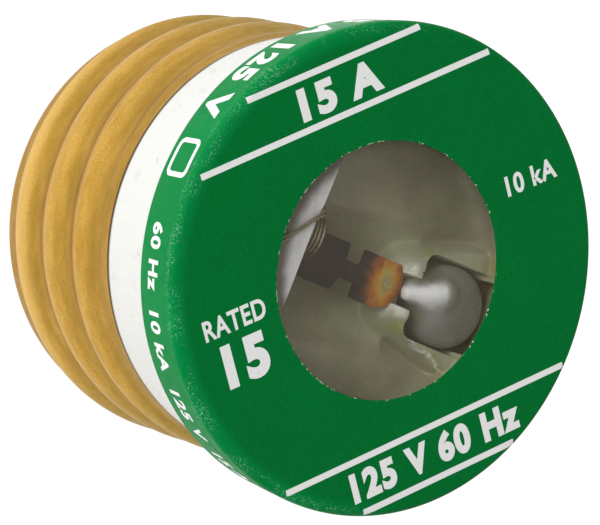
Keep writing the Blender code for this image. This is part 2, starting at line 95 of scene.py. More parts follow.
# Cap, window and print
FACE_SINK = 0.03  # room for the ink inside the CAD box
EDGE_ROUND = 0.40
CAP_TAPER = 0.25  # the skirt is narrower at its rear edge
CAP_SHEET = 0.3
VIEW_RADIUS = 7.37
VIEW_FLARE = 0.24  # the hole is wider under its edge
CAP_REAR = box_mm("cap")[0].z  # height of the skirt's rear edge
INK = 0.012
PRINT_ANGLE = math.radians(40.4)  # the print's baseline against X
PRINT_ASKEW = 1.2  # degrees by which the upper lines are out of true

# Cavity, depths below the face
CAVITY_RADIUS = 9.9
FLOOR_DEPTH = 5.0
LEDGE_DEPTH = 1.6  # block that the shelf lies on
SLOT_Y = -0.3
SLOT_HALF = 0.86
SLOT_DEPTH = 5.8
CHANNEL_DEPTH = 5.7  # spring's channel through the block
TROUGH_LEFT = (-5.0, -1.8, 3.95, 1.9)  # x, middle y, half width, depth below the floor
TROUGH_RIGHT = (8.6, 0.0, 4.4, 2.2)
POCKET_X = (5.3, 10.6)
POCKET_HALF = 2.5
POCKET_DEPTH = 7.9
SLUG = box_mm("thermal_slug")
SLUG_CENTRE = middle_of(*SLUG)
WELD_PLACE = (3.3, -0.25)

# Screw shell, Edison E26
SHELL = box_mm("screw_shell")
CREST_RADIUS = 13.0
ROOT_RADIUS = 12.42
NECK_RADIUS = 12.47  # of the body above the shell
SHELL_TOP = 10.4
THREAD_END = 22.5  # depth at which the shell curls in
THREAD_FADE = 1.7  # length over which the thread runs out
PITCH = 25.4 / 7
CREST_TURN = math.radians(204.5)  # azimuth at which a crest is at its level
CREST_LEVEL = level(13.36)
SHEET = 0.3

# Spring and lead
COIL_LEFT, COIL_RIGHT = -6.8, -3.65
COIL_TURNS = 12
COIL_Y, COIL_Z, COIL_RADIUS = 0.42, level(3.1), 1.32
SPRING_WIRE = 0.17
LEAD_WIRE = 0.13
ON_SHELF = level(1.04)  # height of the wires that lie on the shelf


# ---------------------------------------------------------------- meshes

def skin(rings, closed=False):
    """Points and faces of the surface through rings of points; a ring of one point is a pole."""
    starts = np.cumsum([0] + [len(ring) for ring in rings])
    pairs = [(i, i + 1) for i in range(len(rings) - 1)]
    if closed:
        pairs.append((len(rings) - 1, 0))
    faces = []
    for a, b in pairs:
        count = max(len(rings[a]), len(rings[b]))
        k = np.arange(count)
        following = (k + 1) % count
        corners = []
        for ring, order in ((a, (k, following)), (b, (following, k))):
            if len(rings[ring]) == 1:
                corners.append(starts[ring] + 0 * k)
            else:
                corners += [starts[ring] + order[0], starts[ring] + order[1]]
        faces += np.stack(corners, 1).tolist()
    return np.concatenate([np.asarray(ring, float) for ring in rings]), faces


def rounded(outline, steps=4):
    """A closed outline in which each corner given as (a, b, radius) becomes an arc."""
    points = []
    for i, corner in enumerate(outline):
        here = Vector(corner[:2])
        if len(corner) < 3:
            points.append(tuple(here))
            continue
        back = (Vector(outline[i - 1][:2]) - here).normalized()
        ahead = (Vector(outline[(i + 1) % len(outline)][:2]) - here).normalized()
        half = back.angle(ahead) / 2
        centre = here + (back + ahead).normalized() * corner[2] / math.sin(half)
        first = here + back * corner[2] / math.tan(half) - centre
        last = here + ahead * corner[2] / math.tan(half) - centre
        for step in range(steps + 1):
            arm = first.lerp(last, step / steps).normalized() * corner[2]
            points.append(tuple(centre + arm))
    return points


def ring(radius, z, steps, centre=(0.0, 0.0)):
    """Points of a level circle; a circle of no radius is one point."""
    if radius < 1e-6:
        return np.array([[centre[0], centre[1], z]])
    angles = np.arange(steps) * 2 * math.pi / steps
    return np.stack([
        centre[0] + radius * np.cos(angles), centre[1] + radius * np.sin(angles),
        np.full(steps, float(z))], 1)


def smooth_path(points, steps):
    """Catmull-Rom curve through the points, as an array."""
    knots = np.array(points, float)
    knots = np.vstack([2 * knots[0] - knots[1], knots, 2 * knots[-1] - knots[-2]])
    curve = []
    for a, b, c, d in zip(knots, knots[1:], knots[2:], knots[3:]):
        for i in range(steps):
            t = i / steps
            curve.append(0.5 * (2 * b + (c - a) * t + (2 * a - 5 * b + 4 * c - d) * t**2
                                + (3 * b - a - 3 * c + d) * t**3))
    return np.array(curve + [knots[-2]])


def place(name, mesh, look, body="housing", nodes=(), sharp=35.0):
    """Make a piece from a bmesh in millimetres, shade it and let it ride."""
    bmesh.ops.scale(mesh, vec=(MM, MM, MM), verts=mesh.verts)
    bmesh.ops.recalc_face_normals(mesh, faces=mesh.faces)
    data = bpy.data.meshes.new(name)
    mesh.to_mesh(data)
    mesh.free()
    data.shade_smooth()
    data.set_sharp_from_angle(angle=math.radians(sharp))
    data.materials.append(look)
    piece = bpy.data.objects.new(name, data)
    bpy.context.scene.collection.objects.link(piece)
    if body:
        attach(piece, body)
    if nodes:
        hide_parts(*nodes)
    return piece


def from_skin(points, faces):
    """A bmesh of points and faces."""
    data = bpy.data.meshes.new("skin")
    data.from_pydata(points.tolist(), [], faces)
    mesh = bmesh.new()
    mesh.from_mesh(data)
    bpy.data.meshes.remove(data)
    return mesh


def turned(outline, steps=LARGE_STEPS, centre=(0.0, 0.0)):
    """Body swept by a closed outline of (radius, height)."""
    on_axis = outline[0][0] < 1e-6 and outline[-1][0] < 1e-6
    return from_skin(*skin([ring(r, z, steps, centre) for r, z in outline], not on_axis))


def tube(path, diameter):
    """Round wire along a path, with domed ends."""
    sides = 12
    path = np.array(path, float)
    rings = [path[:1]]
    across = np.array([0.0, 0.0, 1.0])
    for i, point in enumerate(path):
        tangent = path[min(i + 1, len(path) - 1)] - path[max(i - 1, 0)]
        tangent /= np.linalg.norm(tangent)
        across = across - tangent * across.dot(tangent)
        across /= np.linalg.norm(across)
        other = np.cross(tangent, across)
        turn = np.arange(sides)[:, None] * 2 * math.pi / sides
        circle = (across * np.cos(turn) + other * np.sin(turn)) * diameter / 2
        if i == 0:
            rings[0] = (point - tangent * diameter * 0.1)[None]
            rings.append(point + circle * 0.8)
            rings.append(point + tangent * diameter * 0.1 + circle)
        elif i == len(path) - 1:
            rings.append(point - tangent * diameter * 0.1 + circle)
            rings.append(point + circle * 0.8)
            rings.append((point + tangent * diameter * 0.1)[None])
        else:
            rings.append(point + circle)
    return from_skin(*skin(rings))


def slab(outline, low, high):
    """Flat outline of (x, y) with a thickness from low to high."""
    mesh = bmesh.new()
    face = mesh.faces.new([mesh.verts.new((x, y, low)) for x, y in outline])
    raised = bmesh.ops.extrude_face_region(mesh, geom=[face])
    moved = [item for item in raised["geom"] if isinstance(item, bmesh.types.BMVert)]
    bmesh.ops.translate(mesh, verts=moved, vec=(0, 0, high - low))
    return mesh


def slice_up(mesh, axis, spacing):
    """Cut a mesh across an axis at even spacing, so that it can bend."""
    places = [vert.co[axis] for vert in mesh.verts]
    start, end = min(places), max(places)
    normal = Vector((0, 0, 0))
    normal[axis] = 1.0
    for i in range(1, math.ceil((end - start) / spacing)):
        bmesh.ops.bisect_plane(
            mesh, geom=mesh.verts[:] + mesh.edges[:] + mesh.faces[:], dist=1e-5,
            plane_co=normal * (start + i * spacing), plane_no=normal)


# ---------------------------------------------------------------- materials

class Look:
    """A Principled material, with short names for the nodes that feed it."""

    def __init__(self, name, colour, roughness, metallic=0.0, specular=0.5):
        self.made = bpy.data.materials.new(name)
        self.made.use_nodes = True
        self.tree = self.made.node_tree
        self.shader = self.tree.nodes["Principled BSDF"]
        self.set("Base Color", (*colour, 1.0))
        self.set("Roughness", roughness)
        self.set("Metallic", metallic)
        self.set("Specular IOR Level", specular)
        where = self.tree.nodes.new("ShaderNodeTexCoord")
        self.spot = self.vector("MULTIPLY", where.outputs["Object"], (1 / MM,) * 3)

    def set(self, socket, value):
        """Give a shader input a constant or the output of a node."""
        if isinstance(value, bpy.types.NodeSocket):
            self.tree.links.new(value, self.shader.inputs[socket])
        else:
            self.shader.inputs[socket].default_value = value

    def feed(self, node, values):
        for socket, value in zip(node.inputs, values):
            if isinstance(value, bpy.types.NodeSocket):
                self.tree.links.new(value, socket)
            elif value is not None:
                socket.default_value = value

    def vector(self, operation, *values):
        node = self.tree.nodes.new("ShaderNodeVectorMath")
        node.operation = operation
        self.feed(node, values)
        return node.outputs["Value" if operation in ("LENGTH", "DISTANCE") else "Vector"]

    def math(self, operation, *values):
        node = self.tree.nodes.new("ShaderNodeMath")
        node.operation = operation
        self.feed(node, values)
        return node.outputs["Value"]

    def axes(self):
        """The x, y and z of the place on the object, in millimetres."""
        node = self.tree.nodes.new("ShaderNodeSeparateXYZ")
        self.feed(node, [self.spot])
        return node.outputs

    def plan(self):
        """The place on the object with its height left out."""
        return self.vector("MULTIPLY", self.spot, (1.0, 1.0, 0.0))

    def radius(self):
        """Distance from the screw axis."""
        return self.vector("LENGTH", self.plan())

    def away(self, x, y):
        """Distance in plan from a place."""
        return self.vector("DISTANCE", self.plan(), (x, y, 0.0))

    def noise(self, size, detail=3.0, stretch=(1.0, 1.0, 1.0), shift=0.0):
        """Noise from about 0.25 to 0.75, whose blobs are about size millimetres across."""
        node = self.tree.nodes.new("ShaderNodeTexNoise")
        spot = self.vector("MULTIPLY_ADD", self.spot, stretch, (shift, shift, shift))
        self.tree.links.new(spot, node.inputs["Vector"])
        node.inputs["Scale"].default_value = 1.0 / size
        node.inputs["Detail"].default_value = detail
        return node.outputs["Fac"]

    def blots(self, low, high, *size, **shape):
        """Patches of noise: 0 where it is below low and 1 where it is above high."""
        return self.ramp(self.noise(*size, **shape), low, high)

    def ramp(self, value, low, high, start=0.0, end=1.0):
        """Smooth change from start to end as the value goes from low to high."""
        node = self.tree.nodes.new("ShaderNodeMapRange")
        node.interpolation_type = "SMOOTHSTEP"
        self.feed(node, [value, low, high, start, end])
        return node.outputs["Result"]

    def fall(self, value, low, high):
        """Smooth change from 1 to 0 as the value goes from low to high."""
        return self.ramp(value, low, high, 1.0, 0.0)

    def times(self, value, *factors):
        for factor in factors:
            value = self.math("MULTIPLY", value, factor)
        return value

    def ragged(self, value, noise, amount):
        """A value made uneven by noise."""
        return self.math("ADD", value, self.times(noise, amount))

    def mix(self, share, a, b, most=None):
        """Colour a where the share is 0 and b where it is 1, or less of b when most is given."""
        if most is not None:
            share = self.times(share, most)
        node = self.tree.nodes.new("ShaderNodeMix")
        node.data_type = "RGBA"
        a, b = ((*colour, 1.0) if isinstance(colour, tuple) else colour for colour in (a, b))
        self.feed(node, [share] + [None] * 5 + [a, b])
        return node.outputs[2]

    def colours(self, value, stops):
        """Colour ramp from (place, colour) pairs."""
        node = self.tree.nodes.new("ShaderNodeValToRGB")
        self.tree.links.new(value, node.inputs["Fac"])
        bar = node.color_ramp.elements
        while len(bar) < len(stops):
            bar.new(1.0)
        for element, (position, colour) in zip(bar, stops):
            element.position = position
            element.color = (*colour, 1.0)
        return node.outputs["Color"]

    def bump(self, value, depth):
        """Surface relief of the given depth in millimetres."""
        node = self.tree.nodes.new("ShaderNodeBump")
        node.inputs["Distance"].default_value = depth * MM
        self.tree.links.new(value, node.inputs["Height"])
        self.set("Normal", node.outputs["Normal"])

    def finish(self, colour, relief, polish=None):
        """Set the colour, the relief (size, detail, depth) and an uneven roughness.

        The roughness is given as the size and detail of its patches and its two ends.
        """
        self.set("Base Color", colour)
        if polish:
            self.set("Roughness", self.ramp(self.noise(*polish[:2]), 0.3, 0.7, *polish[2:]))
        self.bump(self.noise(*relief[:2]), relief[2])
        return self.made


def cap_look():
    """Green enamel, chipped round the hole; the skirt and the left shoulder are painted lighter
    where light falls, the far skirt has a painted sheen, and dust specks along the rounded edge
    double as a painted highlight.
    """
    look = Look("green_enamel", (0, 0.16, 0.03), 0.42, specular=0.03)
    x, y, z = look.axes()[0:3]
    radius = look.radius()
    wall = look.fall(z, TOP - 1.1, TOP - 0.15)
    # Painted light: the skirt, and the rounded shoulder on the left where the key light falls, are
    # a lighter green than the face.
    leftward = look.math("ADD", look.times(x, -0.83), look.times(y, -0.30))
    lit_and_rubbed_side = look.ramp(leftward, -3.0, 6.0)
    shoulder = look.times(look.ramp(radius, OUTER - 1.15, OUTER - 0.5), lit_and_rubbed_side)
    lighter = look.math("MAXIMUM", wall, shoulder)
    base = look.mix(lighter, (0.0, 0.150, 0.026), (0.0, 0.230, 0.052))
    cloud = look.blots(0.3, 0.7, 4.0, 4.0)
    base = look.mix(cloud, base, (0.0, 0.120, 0.020), 0.25)
    grain = look.blots(0.3, 0.7, 0.11, 2.0)
    base = look.mix(grain, base, (0.004, 0.225, 0.050), 0.3)
    # Specks of dust along the rounded edge, kept to the lit left side and light green, so partly a
    # painted highlight of the edge.
    rim = look.times(
        look.ramp(radius, OUTER - 0.75, OUTER - 0.40), look.ramp(z, TOP - 0.9, TOP - 0.5))
    dust_and_sheen = look.times(look.blots(0.50, 0.68, 0.11), look.blots(0.40, 0.62, 1.8, shift=7.0))
    base = look.mix(look.times(rim, lit_and_rubbed_side, dust_and_sheen, 0.55), base, (0.24, 0.60, 0.38))
    # Painted sheen: the far side of the skirt, seen at a grazing angle, is paler and greyer.
    grazing_sheen = look.times(wall, look.ramp(y, 8.5, 13.5))
    base = look.mix(grazing_sheen, base, (0.19, 0.40, 0.25), 0.55)
    wall_dust = look.times(wall, look.blots(0.56, 0.70, 0.12, shift=3.0))
    base = look.mix(wall_dust, base, (0.0, 0.32, 0.09), 0.25)
    rear = look.ramp(z, CAP_REAR + 0.04, CAP_REAR + 0.13, 0.7, 0.0)
    base = look.mix(rear, base, (0.13, 0.14, 0.10))
    edge = look.fall(radius, VIEW_RADIUS + 0.07, VIEW_RADIUS + 0.17)
    side = look.ramp(x, -4.0, 2.0, 0.0, 0.065)
    patch = look.math("SUBTRACT", look.noise(0.22, shift=11.0), side)
    chips = look.ramp(patch, 0.545, 0.59)
    base = look.mix(look.times(edge, chips), base, (0.60, 0.66, 0.48))
    return look.finish(base, (0.16, 3.0, 0.012), (0.8, 4.0, 0.36, 0.5))


def ink_look():
    """White print with fine pinholes."""
    look = Look("white_ink", (0.84, 0.84, 0.83), 0.45, specular=0.3)
    wear_and_highlight = look.blots(0.64, 0.74, 0.13, 4.0, shift=5.0)
    base = look.mix(wear_and_highlight, (0.84, 0.84, 0.83), (0.30, 0.47, 0.34), 0.55)
    return look.finish(base, (0.2, 3.0, 0.008))


def window_look():
    """Clear disc, slightly smoky, with a faint film on it."""
    look = Look("clear_window", (0.22, 0.19, 0.13), 0.09, specular=0.5)
    look.set("Alpha", look.ramp(look.noise(2.5, 5.0), 0.35, 0.75, 0.10, 0.15))
    look.set("Roughness", look.ramp(look.noise(1.0, 4.0), 0.3, 0.7, 0.06, 0.14))
    look.made.surface_render_method = "BLENDED"
    return look.made


def ceramic_look():
    """White glazed moulding; the cavity's dark olive is partly a stain and partly painted shade,
    its trough is painted lighter where light falls, its pocket is painted with shade, and there is
    flux near the slot and pocket; a painted shade line runs round the neck above the shell.
    """
    look = Look("ceramic", (0.86, 0.86, 0.84), 0.32)
    x, y, z = look.axes()[0:3]
    radius = look.radius()
    scuff = look.blots(0.67, 0.76, 0.45, 6.0)
    white = look.mix(scuff, (0.71, 0.71, 0.68), (0.42, 0.40, 0.35), 0.4)
    smudge = look.times(
        look.blots(0.58, 0.70, 1.1, 6.0, shift=17.0), look.blots(0.42, 0.62, 0.16))
    white = look.mix(smudge, white, (0.36, 0.37, 0.36), 0.35)
    # Painted shade: a dark line on the neck just above the shell, where the gap under the body's
    # edge is in shade, with dark blotches up to half a millimetre above it.
    line = look.fall(z, level(SHELL_TOP - 0.08), level(SHELL_TOP - 0.30))
    smear = look.times(
        look.fall(z, level(SHELL_TOP), level(SHELL_TOP - 0.5)), look.blots(0.58, 0.68, 0.3, 4.0))
    under = look.math("MAXIMUM", line, look.times(smear, 0.6))
    white = look.mix(under, white, (0.10, 0.065, 0.025))

    # The cavity's dark olive: partly a stain, partly painted shade.
    stain_and_shade = look.colours(look.noise(2.2, 5.0, shift=2.0), [
        (0.30, (0.255, 0.240, 0.150)), (0.50, (0.315, 0.297, 0.182)),
        (0.72, (0.38, 0.358, 0.218))])
    grain = look.blots(0.3, 0.7, 0.12, 2.0)
    stain_and_shade = look.mix(grain, stain_and_shade, (0.50, 0.47, 0.38), 0.25)
    across = look.math("ABSOLUTE", look.math("SUBTRACT", y, SLOT_Y))
    # Painted light: the trough is lighter where light falls into it.
    lit_trough = look.times(look.fall(across, 2.4, 4.4), look.ramp(x, -1.0, 5.0))
    stain_and_shade = look.mix(lit_trough, stain_and_shade, (0.54, 0.55, 0.36), 0.8)
    near = look.ragged(look.away(4.7, SLOT_Y), look.noise(0.6, 4.0), 1.4)
    stain_and_shade = look.mix(look.ramp(near, 1.7, 2.8, 0.95, 0.0), stain_and_shade, (0.86, 0.90, 0.78))
    for flux_x, flux_y, reach, colour in (
            (7.9, 3.0, 1.6, (0.60, 0.61, 0.42)), (5.5, 2.15, 0.75, (0.42, 0.43, 0.10)),
            (5.0, -2.35, 0.6, (0.50, 0.58, 0.05)), (9.7, 3.1, 1.3, (0.46, 0.36, 0.08)),
            (9.2, -4.1, 0.9, (0.48, 0.36, 0.07)), (8.0, -3.4, 0.9, (0.50, 0.50, 0.24))):
        spot = look.ragged(look.away(flux_x, flux_y), look.noise(0.5, 4.0, shift=flux_x), 0.9)
        stain_and_shade = look.mix(look.ramp(spot, 0.25, reach + 0.5, 0.8, 0.0), stain_and_shade, colour)
    wander = look.times(look.math("SINE", look.times(x, 3.1)), 0.12)
    crack = look.math("ADD", look.math("ADD", y, wander), look.math("MULTIPLY_ADD", x, 0.34, 0.8))
    crack = look.ragged(look.math("ABSOLUTE", crack), look.noise(0.25, 5.0), 0.7)
    along = look.times(look.ramp(x, 5.2, 5.9), look.fall(x, 8.4, 9.2))
    crack = look.times(look.ramp(crack, 0.34, 0.52, 0.85, 0.0), along)
    stain_and_shade = look.mix(crack, stain_and_shade, (0.88, 0.88, 0.82))
    # Painted shade: dark brown on the pocket's right wall, beside the slug.
    pocket_wall_shade = look.times(look.ramp(x, 9.75, 10.2), look.fall(z, level(5.2), level(4.3)))
    stain_and_shade = look.mix(pocket_wall_shade, stain_and_shade, (0.22, 0.155, 0.07))
    # Painted shade: the deep pocket round the slug is darkened.
    deep = look.fall(z, level(6.6), level(5.0))
    pocket = look.times(deep, look.ramp(x, 5.1, 5.4))
    stain_and_shade = look.mix(pocket, stain_and_shade, (0.13, 0.105, 0.075), 0.85)
    notch = look.times(
        look.ramp(x, 9.0, 9.2), look.fall(across, 2.9, 3.0),
        look.fall(radius, 11.2, 11.3), look.fall(z, level(2.0), level(1.9)))
    inside = look.math("MAXIMUM", notch, look.fall(radius, 9.86, 9.92))
    inside = look.times(inside, look.ramp(z, level(8.6), level(8.4)))
    return look.finish(
        look.mix(inside, white, stain_and_shade), (0.3, 5.0, 0.02), (0.6, 4.0, 0.26, 0.42))


def card_look():
    """White vulcanised fibre with soft mottling, a few dark specks, and a painted shadow of the
    cap's rim with a brown stain along the hole's edge.
    """
    look = Look("white_fibre", (0.85, 0.85, 0.84), 0.6, specular=0.3)
    fibre = look.blots(0.3, 0.7, 0.35, 6.0, (1.0, 0.35, 1.0))
    base = look.mix(fibre, (0.77, 0.77, 0.755), (0.87, 0.87, 0.86))
    specks = look.blots(0.71, 0.74, 0.16, 2.0, shift=9.0)
    base = look.mix(specks, base, (0.10, 0.09, 0.08))
    # Painted shadow of the cap's rim, with a brown stain, in a band under the left edge of the
    # hole.
    reach = look.ragged(look.away(0.8, 0.1), look.noise(0.8, 4.0, shift=4.0), 0.3)
    base = look.mix(look.ramp(reach, 6.7, 7.45, 0.0, 0.92), base, (0.14, 0.115, 0.085))
    return look.finish(base, (0.2, 5.0, 0.015))


def brass_look(name, tarnish_and_shading, lip=None):
    """Brass; tarnish_and_shading from 0 to 1 darkens patches and grooves, and sets how much painted
    shade falls on the side away from the key light and how bright the painted highlight on its
    crests is; the edge above lip is painted dark brown as the shade of the gap under the body.
    """
    look = Look(name, (0.68, 0.42, 0.10), 0.42, 1.0)
    streak = look.blots(0.32, 0.68, 2.5, stretch=(1.0, 1.0, 5.0))
    base = look.mix(streak, (0.55, 0.315, 0.055), (0.66, 0.40, 0.085))
    fine = look.blots(0.38, 0.62, 0.10, 2.0, shift=4.0)
    base = look.mix(fine, base, (0.38, 0.215, 0.035), 0.42 * tarnish_and_shading)
    groove = look.fall(look.radius(), ROOT_RADIUS + 0.04, CREST_RADIUS - 0.08)
    uneven = look.ramp(look.noise(3.0, 4.0, (1.0, 1.0, 4.0), 6.0), 0.3, 0.65, 0.55, 1.0)
    base = look.mix(look.times(groove, uneven, 0.65 * tarnish_and_shading), base, (0.30, 0.175, 0.022))
    cloud = look.blots(0.5, 0.75, 1.2, 5.0, (1.0, 1.0, 2.0), 8.0)
    base = look.mix(cloud, base, (0.44, 0.22, 0.03), 0.25 * tarnish_and_shading)
    spots = look.blots(0.72, 0.76, 0.22, 2.0, shift=13.0)
    base = look.mix(spots, base, (0.20, 0.12, 0.04), 0.8 * tarnish_and_shading)
    x, y, z = look.axes()[0:3]
    # Painted shade: the side away from the key light, towards +X, is darker olive.
    towards_light = look.math("ADD", look.times(x, -0.95), look.times(y, -0.12))
    base = look.mix(look.ramp(towards_light, 1.0, 9.5, 0.7 * tarnish_and_shading, 0.0), base, (0.27, 0.178, 0.018))
    # Painted highlight: the crests on the side towards the key light, low on the shell, are bright
    # gold.
    wear_and_highlight = look.times(
        look.ramp(look.radius(), CREST_RADIUS - 0.35, CREST_RADIUS),
        look.ramp(towards_light, 5.0, 12.0), look.ramp(z, level(15.0), level(21.0), 0.0, 0.55))
    base = look.mix(wear_and_highlight, base, (0.88, 0.59, 0.20), tarnish_and_shading)
    # Painted shade: the shell's top edge, in the gap under the body, is dark brown.
    if lip is not None:
        base = look.mix(look.ramp(z, lip, lip + 0.05, 0.0, 0.95), base, (0.05, 0.03, 0.012))
    look.set("Base Color", base)
    look.set("Roughness", look.ramp(look.noise(0.7, 5.0, (1.0, 1.0, 4.0)), 0.3, 0.7, 0.38, 0.52))
    look.bump(look.noise(0.12, 4.0, (1.0, 1.0, 3.0)), 0.006)
    return look.made


def metal_look(name, light, dark, roughness, grain=0.4):
    """Plain metal with two tones, uneven polish and a fine relief."""
    look = Look(name, light, roughness, 1.0)
    tone = look.blots(0.32, 0.68, grain, 6.0)
    fine = look.blots(0.35, 0.65, grain / 4, shift=3.0)
    base = look.mix(fine, look.mix(tone, dark, light), dark, 0.35)
    return look.finish(
        base, (grain / 2, 4.0, 0.01), (grain * 2, 4.0, roughness - 0.08, roughness + 0.1))


def moulded_look(name, colour, fleck, roughness):
    """Moulded or pressed insulating material with flecks."""
    look = Look(name, colour, roughness)
    flecks = look.blots(0.45, 0.72, 0.4, 6.0)
    return look.finish(
        look.mix(flecks, colour, fleck), (0.18, 5.0, 0.015),
        (0.5, 4.0, roughness - 0.08, roughness + 0.1))


def slug_look():
    """Dull grey alloy with olive flux round the solder that ran from the slot onto the dome; the
    solder is near-white, partly as a painted highlight, with a painted glow round it and painted
    shade low in the pocket.
    """
    look = Look("slug_alloy", (0.45, 0.45, 0.43), 0.5, 0.55)
    x, y, z = look.axes()[0:3]
    grain = look.blots(0.3, 0.7, 0.12)
    base = look.mix(grain, (0.36, 0.36, 0.345), (0.46, 0.46, 0.44))
    cloud = look.blots(0.35, 0.7, 1.3)
    base = look.mix(cloud, base, (0.30, 0.29, 0.25), 0.25)
    # Painted highlight: a broad pale glow on the dome round the tongue.
    base = look.mix(look.ramp(look.away(6.5, -0.1), 0.3, 2.2, 0.5, 0.0), base, (0.58, 0.59, 0.54))
    # The solder tongue, near-white and less metallic: partly the solder's own brightness, partly a
    # painted highlight.
    axis_y = look.math("MULTIPLY_ADD", look.math("MINIMUM", x, 6.4), 0.30, -1.78)
    off = look.math("ABSOLUTE", look.math("SUBTRACT", y, axis_y))
    off = look.ragged(off, look.noise(0.3, 4.0), 0.3)
    inward = look.math("SUBTRACT", off, look.ramp(x, 5.0, 6.6, 0.0, 0.45))
    bright = look.times(look.fall(inward, 0.38, 0.85), look.fall(x, 5.6, 7.3))
    base = look.mix(bright, base, (1.0, 0.99, 0.98))
    olive = look.times(look.ramp(inward, 0.6, 1.0), look.fall(x, 5.9, 6.8))
    base = look.mix(olive, base, (0.20, 0.19, 0.10), 0.75)
    # Painted shade: the slug darkens low down in its pocket.
    low = look.fall(z, level(5.8), level(4.8))
    base = look.mix(low, base, (0.14, 0.12, 0.08), 0.6)
    look.set("Metallic", look.ramp(bright, 0.0, 1.0, 0.55, 0.15))
    return look.finish(base, (0.20, 4.0, 0.014), (0.5, 4.0, 0.50, 0.62))


def link_look():
    """Oxidised copper strip with heat colours round the weld."""
    look = Look("heat_tinted_link", (0.06, 0.04, 0.045), 0.5, 0.35, 0.3)
    x, y = look.axes()[0:2]
    along = look.math("SUBTRACT", x, WELD_PLACE[0])
    left = look.math("MINIMUM", along, 0.0)
    right = look.times(look.math("MAXIMUM", along, 0.0), 1.5)
    along = look.math("ADD", left, right)
    off = look.times(look.math("SUBTRACT", y, WELD_PLACE[1]), 0.60)
    reach = look.math("SQRT", look.math("ADD", look.times(along, along), look.times(off, off)))
    reach = look.ragged(reach, look.math("SUBTRACT", look.noise(0.45, 5.0), 0.5), 0.9)
    reach = look.times(reach, 1 / 3.0)
    base = look.colours(reach, [
        (0.00, (0.40, 0.35, 0.24)), (0.07, (0.50, 0.43, 0.16)), (0.14, (0.64, 0.47, 0.10)),
        (0.21, (0.76, 0.36, 0.04)), (0.33, (0.52, 0.16, 0.02)), (0.50, (0.13, 0.05, 0.025)),
        (0.62, (0.022, 0.021, 0.024)), (0.80, (0.028, 0.018, 0.020)), (1.0, (0.028, 0.018, 0.020))])
    grime = look.blots(0.56, 0.76, 0.22, 5.0, shift=8.0)
    base = look.mix(grime, base, (0.12, 0.08, 0.06), 0.25)
    return look.finish(base, (0.7, 2.0, 0.010), (0.4, 4.0, 0.50, 0.66))


def floor_look():
    """Plain white paper, lit from behind a little so that shadows stay faint."""
    look = Look("white_paper", (0.5, 0.5, 0.5), 0.9, specular=0.0)
    cloud = look.blots(0.3, 0.7, 3.0)
    look.set("Base Color", look.mix(cloud, (0.49, 0.49, 0.49), (0.51, 0.51, 0.51)))
    look.set("Emission Color", (1.0, 1.0, 1.0, 1.0))
    look.set("Emission Strength", 0.78)
    return look.made


# ---------------------------------------------------------------- cap and print

CORNER_STEPS = 10  # facets in each round corner of the cap


def cap_outline():
    """Section of the pressed cap, from the hole's edge outward and round."""
    face, under, rear = level(FACE_SINK), level(CAP_SHEET), CAP_REAR + 0.01
    wall = OUTER - INK - 0.005
    return rounded([
        (VIEW_RADIUS, face, 0.05), (wall, face, EDGE_ROUND), (wall - CAP_TAPER, rear, 0.08),
        (wall - CAP_TAPER - CAP_SHEET, rear, 0.08), (wall - CAP_SHEET, under, 0.25),
        (VIEW_RADIUS + VIEW_FLARE, under, 0.05)], CORNER_STEPS)


def cap_surface():
    """Way out from the middle of the face and down the skirt: distance, radius, height."""
    outline = np.array(cap_outline())
    corner = CORNER_STEPS + 1
    outer = outline[corner // 2 + 1:2 * corner + 1]
    line = np.vstack([[0.0, outer[0][1]], outer])
    steps = np.hypot(*np.diff(line, axis=0).T)
    return np.concatenate([[0], np.cumsum(steps)]), line[:, 0], line[:, 1]


CAP_WAY, CAP_R, CAP_Z = cap_surface()


def cap_section(way):
    """Radius and height of the cap's surface at a distance from the middle of the face."""
    return np.array([np.interp(way, CAP_WAY, CAP_R), np.interp(way, CAP_WAY, CAP_Z)])


def on_cap(way, azimuth, lift):
    """Point of the cap's surface, lifted off it along the normal."""
    small = 0.05
    run = cap_section(way + small) - cap_section(way - small)
    tangent = run / max(np.linalg.norm(run), 1e-9)
    radius, z = cap_section(way) + np.array([-tangent[1], tangent[0]]) * lift
    return Vector((radius * math.cos(azimuth), radius * math.sin(azimuth), z))


def print_face(mesh, name, across, up, look, askew=0.0):
    """Lay a flat print on the face with its origin at (across, up) in the print's own axes."""
    slice_up(mesh, 0, 0.12)
    slice_up(mesh, 1, 0.12)
    angle = PRINT_ANGLE + math.radians(askew)
    along = Vector((math.cos(angle), math.sin(angle)))
    upward = Vector((-along.y, along.x))
    for vert in mesh.verts:
        flat = along * (vert.co.x + across) + upward * (vert.co.y + up)
        vert.co = on_cap(flat.length, math.atan2(flat.y, flat.x), vert.co.z)
    place(name, mesh, look)


def print_skirt(mesh, name, azimuth, depth, look):
    """Lay a flat print on the skirt, centred at an azimuth in degrees and a depth."""
    slice_up(mesh, 0, 0.25)
    slice_up(mesh, 1, 0.3)
    base = np.interp(-level(depth), -CAP_Z[1:], CAP_WAY[1:])
    for vert in mesh.verts:
        turn = math.radians(azimuth) + vert.co.x / OUTER
        vert.co = on_cap(base - vert.co.y, turn, vert.co.z)
    place(name, mesh, look)


